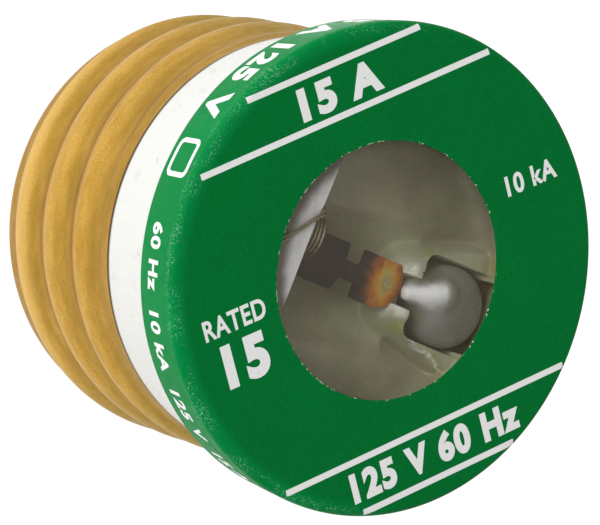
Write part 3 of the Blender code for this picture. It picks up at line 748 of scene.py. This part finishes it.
def letters(words, tall, weight, width):
    """A thin solid of a line of text, tall by width, its middle at the origin.

    Letters made bolder by weight are set further apart, so that they don't touch.
    """
    curve = bpy.data.curves.new("letters", "FONT")
    curve.body = words
    curve.offset = weight
    curve.space_character = 1.0 + 3.0 * weight
    curve.resolution_u = 6
    curve.extrude = 0.5
    writer = bpy.data.objects.new("letters", curve)
    bpy.context.scene.collection.objects.link(writer)
    written = writer.evaluated_get(bpy.context.evaluated_depsgraph_get())
    data = bpy.data.meshes.new_from_object(written)
    bpy.data.objects.remove(writer)
    mesh = bmesh.new()
    mesh.from_mesh(data)
    bmesh.ops.remove_doubles(mesh, verts=mesh.verts, dist=1e-5)
    low = Vector([min(vert.co[i] for vert in mesh.verts) for i in range(3)])
    high = Vector([max(vert.co[i] for vert in mesh.verts) for i in range(3)])
    middle, size = (low + high) / 2, high - low
    for vert in mesh.verts:
        vert.co.x = (vert.co.x - middle.x) * (width / size.x)
        vert.co.y = (vert.co.y - middle.y) * (tall / size.y)
        vert.co.z = INK if vert.co.z > 0 else -INK
    return mesh


def rounded_box(low, high, corner, steps):
    """Outline of a rectangle with round corners."""
    return rounded([
        (low[0], low[1], corner), (high[0], low[1], corner),
        (high[0], high[1], corner), (low[0], high[1], corner)], steps)


def make_cap(look, ink):
    """Pressed cap with its bars and ratings; each print has its own place and size."""
    place("cap_skin", turned(cap_outline(), 384), look, nodes=["cap"])
    half = 0.185
    for name, left, right, up, askew in (
            ("bar_top_inner", -9.9, 10.05, 9.6, PRINT_ASKEW),
            ("bar_top_outer", -5.9, 6.0, 12.6, PRINT_ASKEW),
            ("bar_bottom_inner", -9.9, 9.9, -9.75, 0.0),
            ("bar_bottom_outer", -5.4, 5.4, -12.85, 0.0)):
        strip = slab(rounded_box((left, -half), (right, half), 0.04, 2), -INK, INK)
        print_face(strip, name, 0.0, up, ink, askew)
    print_face(letters("15 A", 1.95, 0.055, 5.6), "print_top", 0.0, 11.05, ink, PRINT_ASKEW)
    print_face(letters("125 V 60 Hz", 1.9, 0.055, 12.0), "print_bottom", 0.2, -11.25, ink)
    print_face(letters("10 kA", 1.25, 0.03, 3.6), "print_right", 10.7, 1.8, ink)
    print_face(letters("RATED", 1.2, 0.025, 4.1), "print_left", -10.3, 1.05, ink)
    print_face(letters("15", 2.6, 0.055, 2.9), "print_left_figure", -10.2, -1.4, ink)
    print_skirt(letters("15 A 125 V", 2.1, 0.05, 13.2), "print_skirt_large", 137.0, 2.3, ink)
    print_skirt(square_sign(1.2, 0.3), "print_skirt_sign", 174.0, 2.2, ink)
    small = "60 Hz  10 kA  125 V  15 A  60 Hz  10 kA  125 V  15 A  60 Hz"
    print_skirt(letters(small, 1.2, 0.035, 41.0), "print_skirt_small", 272.0, 2.3, ink)


def square_sign(radius, stroke):
    """Flat outlined square with round corners, a plain sign."""
    loops = []
    for reach, corner in ((radius, 0.5), (radius - stroke, 0.25)):
        loops.append(rounded_box((-reach, -reach), (reach, reach), corner, 8))
    rings = []
    for loop, z in ((loops[0], INK), (loops[1], INK), (loops[1], -INK), (loops[0], -INK)):
        rings.append(np.array([(x, y, z) for x, y in loop]))
    return from_skin(*skin(rings, True))


# ---------------------------------------------------------------- window, gasket and base

def make_window(look):
    low, high = box_mm("window")
    outline = rounded([(0, high.z), (high.x, high.z, 0.1), (high.x, low.z, 0.1), (0, low.z)])
    place("window_disc", turned(outline), look, nodes=["window"])


def make_gasket(look):
    low, high = box_mm("window_gasket")
    inner = 9.95
    outline = rounded_box((inner, low.z), (high.x, high.z), 0.06, 4)
    place("gasket_ring", turned(outline), look, nodes=["window_gasket"])


def make_base(phenolic, tinned, copper, solder):
    """Base cone, centre contact, the rivet that holds both, and its solder."""
    low, high = box_mm("base_insulator")
    hole = 0.97
    outline = rounded([
        (hole, high.z, 0.1), (high.x, high.z, 0.15), (high.x, 4.5, 0.1), (8.75, 4.05, 0.15),
        (8.5, 3.6, 0.25), (6.3, 1.75, 0.5), (5.6, low.z, 0.2), (hole, low.z, 0.05)], 6)
    place("insulator_cone", turned(outline), phenolic, nodes=["base_insulator"])
    edge, top = box_mm("centre_contact")[1].xz
    outline = rounded([
        (0.95, top, 0.05), (edge - 0.15, top, 0.08), (edge - 0.01, 0.7, 0.3),
        (edge - 0.9, 0.0, 0.5), (1.45, 0.0, 0.3), (1.15, 0.16, 0.2), (0.95, 0.16, 0.05)], 6)
    place("contact_button", turned(outline), tinned, nodes=["centre_contact"])
    low, high = box_mm("contact_rivet")
    shank, head, head_level = 0.85, 1.8, 5.2
    outline = rounded([
        (0, low.z), (shank, low.z, 0.1), (shank, head_level, 0.05), (head, head_level, 0.08),
        (head, 5.55, 0.25), (1.2, high.z, 0.4), (0, high.z)], 6)
    place("rivet", turned(outline, SMALL_STEPS), copper, nodes=["contact_rivet"])
    low, high = box_mm("contact_solder")
    radius, bulge = 0.82, 0.3
    bead = [(0, low.z)]
    for i in range(1, 9):
        turn = math.radians(90 * i / 8)
        bead.append((radius * math.sin(turn), low.z + bulge * (1 - math.cos(turn))))
    bead += [(radius, high.z), (0, high.z)]
    place("contact_bead", turned(bead, SMALL_STEPS), solder, nodes=["contact_solder"])


# ---------------------------------------------------------------- insulating body

def ease(value, low, high):
    """0 below low, 1 above high, smooth between."""
    t = np.clip((value - low) / (high - low), 0, 1)
    return t * t * (3 - 2 * t)


def soft_max(a, b, round_off):
    return 0.5 * (a + b + np.sqrt((a - b)**2 + round_off**2))


def soft_min(a, b, round_off):
    return -soft_max(-a, -b, round_off)


def inside_box(x, y, low, high, corner):
    """Distance inside a rectangle with round corners; negative outside."""
    centre_x, centre_y = (low[0] + high[0]) / 2, (low[1] + high[1]) / 2
    dx = np.abs(x - centre_x) - (high[0] - low[0]) / 2 + corner
    dy = np.abs(y - centre_y) - (high[1] - low[1]) / 2 + corner
    outside = np.hypot(np.maximum(dx, 0), np.maximum(dy, 0))
    return corner - outside - np.minimum(np.maximum(dx, dy), 0)


def ripple(x, y, size, seed):
    """Gentle waviness between -1 and 1, a sum of sines in fixed directions."""
    total = 0 * x
    for i in range(5):
        turn = seed + 2.4 * i
        along = x * math.cos(turn) + y * math.sin(turn)
        total += np.sin(along * (1 + 0.35 * i) * 6.3 / size + seed * i)
    return total / 5


def bump_at(x, y, centre, reach_x, reach_y):
    return np.exp(-((x - centre[0]) / reach_x)**2 - ((y - centre[1]) / reach_y)**2)


def cavity_depth(x, y):
    """Depth of the cavity's surface under each place.

    The hollow floor comes first, then the boss round the slot with its crack, and then what is
    cut out or left standing: slot, pocket, the shelf's block and the spring's channel.
    """
    share = np.clip((x - TROUGH_LEFT[0]) / (TROUGH_RIGHT[0] - TROUGH_LEFT[0]), 0, 1)
    middle, half, sag = (a + (b - a) * share for a, b in zip(TROUGH_LEFT[1:], TROUGH_RIGHT[1:]))
    bow = (half**2 + sag**2) / (2 * sag)
    drop = np.sqrt(np.maximum(bow**2 - (y - middle)**2, 0.01)) - (bow - sag)
    drop = soft_max(drop, 0, 0.35) * (1 - ease(x, 8.3, 9.0))
    fillet = 1.3
    wall = np.clip((np.hypot(x, y) - (CAVITY_RADIUS - fillet)) / fillet, 0, 1)
    rise = fillet * (1 - np.sqrt(1 - wall**2))
    depth = FLOOR_DEPTH + drop + 0.03 * ripple(x, y, 5.0, 1.3) - rise

    off = np.abs(y + 0.2)
    top_half = 1.9 + 2.1 * (x - 4.0) / 5.2
    out = soft_max(0.6 * (off - top_half), 0.8 * (4.05 - x), 0.5)
    boss = 4.2 + 5.0 * np.maximum(out, 0)**1.2 + 0.25 * ease(out, -0.4, 0.3)
    boss += 0.025 * ripple(x, y, 1.6, 0.4)
    boss -= 0.30 * bump_at(x, y, (4.55, 1.2), 0.55, 0.50)
    boss -= 0.30 * bump_at(x, y, (4.65, -1.7), 0.55, 0.45)
    depth = soft_min(depth, boss, 0.55)
    crack = np.abs(y + 2.6 + 0.34 * (x - 5.3) + 0.12 * np.sin(3.1 * x))
    ridge = 0.5 + 0.5 * ripple(x, y, 0.9, 2.0)
    depth -= 0.16 * ridge * np.exp(-(crack / 0.17)**2) * ease(x, 5.2, 5.9) * (1 - ease(x, 8.6, 9.3))

    slot = inside_box(x, y, (3.2, SLOT_Y - SLOT_HALF), (6.2, SLOT_Y + SLOT_HALF), 0.25)
    depth = depth + (SLOT_DEPTH - depth) * ease(slot, -0.16, 0.10) * (depth < SLOT_DEPTH)
    low_y, high_y = SLUG_CENTRE[1] - POCKET_HALF, SLUG_CENTRE[1] + POCKET_HALF
    pocket = inside_box(x, y, (POCKET_X[0], low_y), (POCKET_X[1] + 2, high_y), 0.75)
    depth = depth + (POCKET_DEPTH - depth) * ease(pocket, -0.14, 0.08)
    depth = depth + (LEDGE_DEPTH - depth) * ease(-5.2 - x, -0.04, 0.04)
    channel = inside_box(x, y, (-9.75, -2.55), (-4.6, 2.55), 0.3)
    dug = np.maximum(depth, CHANNEL_DEPTH) - depth
    return depth + dug * ease(channel, -0.05, 0.05) * ease(-x, 4.9, 5.1)


def cavity_reach(angles):
    """Radius of the cavity's wall all round; the slug's pocket bites into it."""
    plain = CAVITY_RADIUS - 0.03
    ahead = np.cos(angles) > 0.5
    off = np.abs(POCKET_X[1] * np.tan(angles) - SLUG_CENTRE[1])
    bite = ease(POCKET_HALF - off, 0.0, 0.15) * ahead
    return plain + (POCKET_X[1] / np.maximum(np.cos(angles), 0.5) - plain) * bite


def make_body(look):
    """Insulating body: the cavity as a height field, joined to the turned outside."""
    steps = 640
    angles = np.arange(steps) * 2 * math.pi / steps
    cosines, sines = np.cos(angles), np.sin(angles)
    middle = float(cavity_depth(np.zeros(1), np.zeros(1))[0])
    rings = [np.array([[0.0, 0.0, level(middle)]])]
    reach = cavity_reach(angles)
    for share in np.linspace(0, 1, 165)[1:]:
        x, y = share * reach * cosines, share * reach * sines
        rings.append(np.stack([x, y, level(cavity_depth(x, y))], 1))
    ceiling = np.where(reach > CAVITY_RADIUS, level(2.2), level(1.5))
    for wall, height in ((reach, ceiling), (CAVITY_RADIUS, ceiling + 0.05)):
        rings.append(np.stack([wall * cosines, wall * sines, height], 1))
    rim, band, hollow = 10.8, 13.5, 9.2
    seat, shoulder, rear = level(1.2), level(SHELL_TOP - 0.05), level(21.0)
    outline = [
        (CAVITY_RADIUS, level(1.26)), (CAVITY_RADIUS + 0.04, seat), (rim - 0.05, seat),
        (rim, level(1.15)), (rim, level(0.46)), (rim + 0.04, level(0.42))]
    outside = rounded([
        (13.1, level(0.42), 0.15), (band, level(0.75), 0.15), (band, level(4.15), 0.3),
        (12.65, level(5.6), 0.5), (NECK_RADIUS, level(5.95), 0.4), (NECK_RADIUS, shoulder, 0.06),
        (11.8, shoulder, 0.05), (11.65, level(20.5), 0.2), (11.2, rear, 0.2), (9.5, rear, 0.2),
        (hollow, level(20.6), 0.2), (hollow, level(11.6), 0.3), (0.0, level(11.6))], 5)
    rings += [ring(r, z, steps) for r, z in outline + outside]
    place("insulator_moulding", from_skin(*skin(rings)), look,
          nodes=["insulating_body"], sharp=50)


# ---------------------------------------------------------------- screw shell

def make_shell(look):
    """Rolled screw shell, threaded inside and out and curled in at the bottom."""
    top, bottom = SHELL[1].z, SHELL[0].z
    thread_end = level(THREAD_END)
    turn_in = thread_end - bottom
    levels = list(np.linspace(top, top - 0.9, 7)) + list(np.linspace(top - 1.0, thread_end, 170))
    sections = [(ROOT_RADIUS, z) for z in levels]
    for step in range(1, 19):
        angle = math.radians(5 * step)
        sections.append((
            ROOT_RADIUS - turn_in * (1 - math.cos(angle)),
            thread_end - (turn_in - 0.01) * math.sin(angle)))
    opening = 8.97
    flat = np.linspace(ROOT_RADIUS - turn_in - 0.2, opening, 8)
    sections += [(radius, bottom + 0.01) for radius in flat]
    steps = 400
    angles = np.arange(steps) * 2 * math.pi / steps
    outer = []
    for radius, z in sections:
        turns = (z - CREST_LEVEL) / PITCH - (angles - CREST_TURN) / (2 * math.pi)
        wave = 0.5 + 0.5 * np.cos(2 * math.pi * turns)
        run_out = ease(THREAD_FADE - (z - thread_end), 0.0, THREAD_FADE)
        strength = ease(top - z, 0.45, 1.5) * (1 - run_out)
        dent = 0.010 * np.sin(3 * angles + 1.1 * z) + 0.007 * np.sin(7 * angles - 0.6 * z + 1.0)
        bulge = radius + (CREST_RADIUS - ROOT_RADIUS - 0.02) * wave * strength + dent * strength
        outer.append(np.stack([bulge, np.full(steps, z)], 1))
    outer = np.array(outer)
    along = np.gradient(outer, axis=0)
    along /= np.linalg.norm(along, axis=2, keepdims=True)
    inner = outer + np.stack([along[:, :, 1], -along[:, :, 0]], 2) * SHEET
    rings = []
    for radius_height in list(outer) + list(inner[::-1]):
        r, z = radius_height[:, 0], radius_height[:, 1]
        rings.append(np.stack([r * np.cos(angles), r * np.sin(angles), z], 1))
    place("threaded_shell", from_skin(*skin(rings, True)), look,
          nodes=["screw_shell"], sharp=60)


# ---------------------------------------------------------------- mechanism

def make_slug(look):
    """Thermal slug with its dome, and the solder tongue that reaches into the slot."""
    centre = np.array([SLUG_CENTRE[0], SLUG_CENTRE[1], level(5.4)])
    radius = (SLUG[1].x - SLUG[0].x) / 2
    around, rows = 360, 150
    turn, tilt = np.meshgrid(
        np.arange(around) * 2 * math.pi / around, np.linspace(0, math.pi, rows + 2)[1:-1])
    ways = np.stack(
        [np.sin(tilt) * np.cos(turn), np.sin(tilt) * np.sin(turn), np.cos(tilt)], 2)

    def distance(points):
        """Distance to the slug's surface, negative inside."""
        local = points - np.array([centre[0], centre[1], 0.0])
        flat = np.hypot(local[..., 0], local[..., 1])
        height_above = local[..., 2] - level(4.95)
        dome = np.sqrt((flat / radius)**2 + (np.maximum(height_above, 0) / 1.33)**2) - 1
        dome = dome * 1.3  # about the dome's height, so that this is millimetres
        floor = SLUG[0].z - local[..., 2]
        slug = soft_max(dome, floor, 0.2)
        start, end = np.array([4.84, -0.36, level(4.55)]), np.array([6.8, 0.28, level(4.25)])
        line = end - start
        share = np.clip(((points - start) @ line) / line.dot(line), 0, 1)
        gap = (points - start - share[..., None] * line) * np.array([1.0, 1.0, 0.85])
        girth = 0.34 + 0.62 * share**1.2
        x, y = points[..., 0], points[..., 1]
        rough = 0.010 * np.sin(7.3 * x + 5.1 * y) * np.sin(6.1 * y + 1.0)
        tongue = np.linalg.norm(gap, axis=-1) - girth + rough
        run = points - np.array([5.7, 0.32, level(4.75)])
        fill = np.linalg.norm(run * np.array([0.55, 0.85, 1.0]), axis=-1) - 0.5
        return soft_min(soft_min(slug, fill, 0.3), tongue, 0.38)

    # The farthest crossing along each way out, found by a coarse scan and then by halving
    scan = np.linspace(0.05, 4.2, 110)
    inside = np.stack([distance(centre + ways * s) < 0 for s in scan])
    last = inside.shape[0] - 1 - np.argmax(inside[::-1], axis=0)
    near, far = scan[last], scan[np.minimum(last + 1, len(scan) - 1)]
    for _ in range(18):
        middle = (near + far) / 2
        within = distance(centre + ways * middle[..., None]) < 0
        near, far = np.where(within, middle, near), np.where(within, far, middle)
    surface = centre + ways * near[..., None]
    top = centre + np.array([0, 0, surface[0][:, 2].mean() - centre[2]])
    low = centre + np.array([0, 0, surface[-1][:, 2].mean() - centre[2]])
    rings = [top[None]] + list(surface) + [low[None]]
    place("slug_with_solder", from_skin(*skin(rings)), look,
          nodes=["thermal_slug", "fusing_alloy"], sharp=80)


def make_link(look):
    """Fuse link with slight bends and worn edges, and the round weld in its pad."""
    low, high = box_mm("fuse_link")
    y0 = -0.45  # the link's middle line
    outline = rounded([
        (low.x, y0 - 1.48), (-0.35, y0 - 1.48, 0.05), (-0.02, y0 - 0.62, 0.12),
        (1.12, y0 - 0.62, 0.12), (1.15, y0 - 1.46, 0.06), (2.7, y0 - 1.48, 0.3),
        (3.75, y0 - 1.15, 0.3), (4.15, y0 - 0.5, 0.2), (4.48, y0 - 0.2, 0.12),
        (high.x, y0 + 0.32, 0.1), (4.25, y0 + 0.75, 0.15), (3.88, y0 + 1.48, 0.15),
        (1.12, y0 + 1.48, 0.06), (1.1, y0 + 0.5, 0.12), (0.05, y0 + 0.5, 0.12),
        (-0.02, y0 + 1.46, 0.06), (-4.2, y0 + 1.46, 0.1), (-4.25, high.y, 0.1),
        (-4.95, high.y, 0.1), (-5.0, y0 + 1.48, 0.1), (low.x, y0 + 1.48)], 4)
    mesh = slab(outline, low.z, high.z)
    slice_up(mesh, 0, 0.15)
    slice_up(mesh, 1, 0.15)
    for vert in mesh.verts:
        x, y = np.array([vert.co.x]), np.array([vert.co.y])
        shift = 0.02 * float(ripple(x, y, 2.2, 0.8)[0]) - 0.02
        vert.co.z += shift * float(ease(x, -4.0, 0.0)[0])
    link = place("link_strip", mesh, look, "trip_link", ["fuse_link"])
    add_bevel(link, 0.03)
    low, high = box_mm("link_weld")
    centre = middle_of(low, high)
    nugget = [
        (radius, low.z + height) for radius, height in (
            (0, 0), (0.34, 0), (0.30, 0.025), (0.20, 0.038), (0.10, 0.034), (0, 0.03))]
    place("weld_nugget", turned(nugget, SMALL_STEPS, centre), look, "trip_link",
          ["link_weld"], 60)


def add_bevel(piece, width):
    bevel = piece.modifiers.new("edge", "BEVEL")
    bevel.width = width * MM
    bevel.segments = 2
    bevel.limit_method = "ANGLE"
    bevel.angle_limit = math.radians(35)


def coil_point(turn):
    angle = 2 * math.pi * turn + math.radians(12.0)
    x = COIL_LEFT + (COIL_RIGHT - COIL_LEFT) * turn / COIL_TURNS
    return (x, COIL_Y + COIL_RADIUS * math.cos(angle), COIL_Z + COIL_RADIUS * math.sin(angle))


def make_spring(look):
    """Trip spring: the coil, its tail that lies on the shelf, and the anchor pin."""
    per_turn = 36
    path = [coil_point(i / per_turn) for i in range(COIL_TURNS * per_turn + 1)]
    coil = tube(path, SPRING_WIRE)
    coil = place("spring_coil", coil, look, None, ["trip_spring"])
    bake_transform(coil)
    tail = smooth_path([
        path[-1], (-3.88, 1.72, level(2.3)), (-4.25, 1.7, level(1.55)), (-4.7, 1.55, level(1.12)),
        (-5.2, 1.1, ON_SHELF), (-6.0, 0.12, ON_SHELF), (-6.9, -0.95, ON_SHELF),
        (-7.5, -1.65, ON_SHELF)], 14)
    place("spring_tail", tube(tail, SPRING_WIRE), look, "housing", ["trip_spring"])
    low, high = box_mm("spring_anchor")
    centre = middle_of(low, high)
    pin = rounded([
        (0, low.z), (0.34, low.z, 0.04), (0.39, high.z - 0.06, 0.06), (0.25, high.z, 0.05),
        (0, high.z)])
    place("anchor_pin", turned(pin, SMALL_STEPS, centre), look, "housing",
          ["spring_anchor"])


def make_lead(look, solder):
    """Flexible lead from the link's end, and its solder bead on the strap."""
    route = smooth_path([
        (-4.6, 2.05, level(4.45)), (-4.6, 2.1, level(3.6)), (-4.5, 2.1, level(2.4)),
        (-4.55, 2.0, level(1.5)), (-5.0, 1.55, ON_SHELF), (-5.65, 0.74, ON_SHELF),
        (-6.4, -0.16, ON_SHELF), (-7.35, -1.02, ON_SHELF), (-8.75, -2.0, ON_SHELF),
        (-8.55, -3.4, ON_SHELF), (-7.58, -4.55, ON_SHELF)], 14)
    lead = place("lead_wire", tube(route, LEAD_WIRE), look, None, ["flexible_lead"])
    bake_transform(lead)
    low, high = box_mm("lead_solder")
    centre = middle_of(low, high)
    bead = [(0, low.z)]
    for angle in map(math.radians, range(90, 9, -10)):
        bead.append((0.58 * math.sin(angle), low.z + 0.26 * math.cos(angle)))
    bead.append((0, high.z - 0.02))
    place("lead_bead", turned(bead, SMALL_STEPS, centre), solder, "housing",
          ["lead_solder"])


def keep_node(node, look, width):
    """Show a CAD node as it is, with a finished material and softened edges."""
    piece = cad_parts[node]
    piece.data.materials.clear()
    piece.data.materials.append(look)
    add_bevel(piece, width)


# ---------------------------------------------------------------- stage

FLOOR_GAP = 0.03  # keeps the floor out of the contact's face


def make_floor(look):
    mesh = bmesh.new()
    bmesh.ops.create_grid(mesh, x_segments=8, y_segments=8, size=1.5)
    data = bpy.data.meshes.new("floor")
    mesh.to_mesh(data)
    mesh.free()
    data.materials.append(look)
    floor = bpy.data.objects.new("floor", data)
    floor.location.z = -FLOOR_GAP * MM
    bpy.context.scene.collection.objects.link(floor)


def area_light(name, towards, distance, size, power):
    """Square white light that shines at the fuse from a direction."""
    lamp = bpy.data.lights.new(name, "AREA")
    lamp.size = size
    lamp.energy = power
    light = bpy.data.objects.new(name, lamp)
    middle = Vector((0, 0, TOP * MM))
    light.location = middle + Vector(towards).normalized() * distance
    light.rotation_euler = (middle - light.location).to_track_quat("-Z", "Y").to_euler()
    bpy.context.scene.collection.objects.link(light)


def make_world(strength):
    world = bpy.data.worlds.new("studio")
    world.use_nodes = True
    back = world.node_tree.nodes["Background"]
    back.inputs["Color"].default_value = (1.0, 1.0, 1.0, 1.0)
    back.inputs["Strength"].default_value = strength
    bpy.context.scene.world = world


def make_camera():
    """Long lens that looks down on the face from its left."""
    lens = bpy.data.cameras.new("camera")
    lens.sensor_width = 36.0
    lens.lens = 216.0
    lens.clip_start = 0.01
    camera = bpy.data.objects.new("camera", lens)
    # Fitted, with the lens, to the round outlines of the cap and of the hole
    right = Vector((0.77397, 0.35116, 0.52693))
    up = Vector((-0.32986, 0.93391, -0.13787))
    back = right.cross(up)
    stand = Matrix((right, up, back)).transposed().to_4x4()
    stand.translation = Vector((-114.335, -15.004, TOP + 168.346)) * MM
    camera.matrix_world = stand
    bpy.context.scene.collection.objects.link(camera)
    bpy.context.scene.camera = camera


def build():
    bpy.context.scene.view_settings.view_transform = "Standard"
    copper = metal_look("aged_copper", (0.62, 0.33, 0.18), (0.30, 0.16, 0.09), 0.42)
    solder = metal_look("solder", (0.72, 0.72, 0.71), (0.50, 0.50, 0.49), 0.34)
    strip = brass_look("brass_strip", 0.5)
    steel = metal_look("spring_wire", (0.44, 0.39, 0.27), (0.22, 0.19, 0.12), 0.38, 0.2)
    make_cap(cap_look(), ink_look())
    make_window(window_look())
    make_gasket(moulded_look("brown_fibre", (0.30, 0.17, 0.09), (0.42, 0.27, 0.16), 0.75))
    make_body(ceramic_look())
    make_shell(brass_look("brass_shell", 1.0, SHELL[1].z - 0.17))
    make_base(
        moulded_look("dark_phenolic", (0.030, 0.024, 0.020), (0.09, 0.07, 0.05), 0.42),
        metal_look("tinned_brass", (0.74, 0.72, 0.66), (0.50, 0.46, 0.36), 0.36), copper, solder)
    make_slug(slug_look())
    make_link(link_look())
    make_spring(steel)
    make_lead(steel, solder)
    for node, look, bevel in (
            ("shelf_plate", card_look(), 0.03), ("shell_strap", strip, 0.04),
            ("strap_solder", solder, 0.05), ("slug_terminal", copper, 0.05),
            ("trigger_strip", copper, 0.03), ("spring_seat", strip, 0.04)):
        keep_node(node, look, bevel)
    make_floor(floor_look())
    make_world(0.56)
    area_light("key", (-0.85, 0.05, 0.45), distance=0.45, size=0.22, power=0.95)
    area_light("fill", (-0.55, 0.42, 0.60), distance=0.45, size=0.10, power=0.22)
    make_camera()


build()
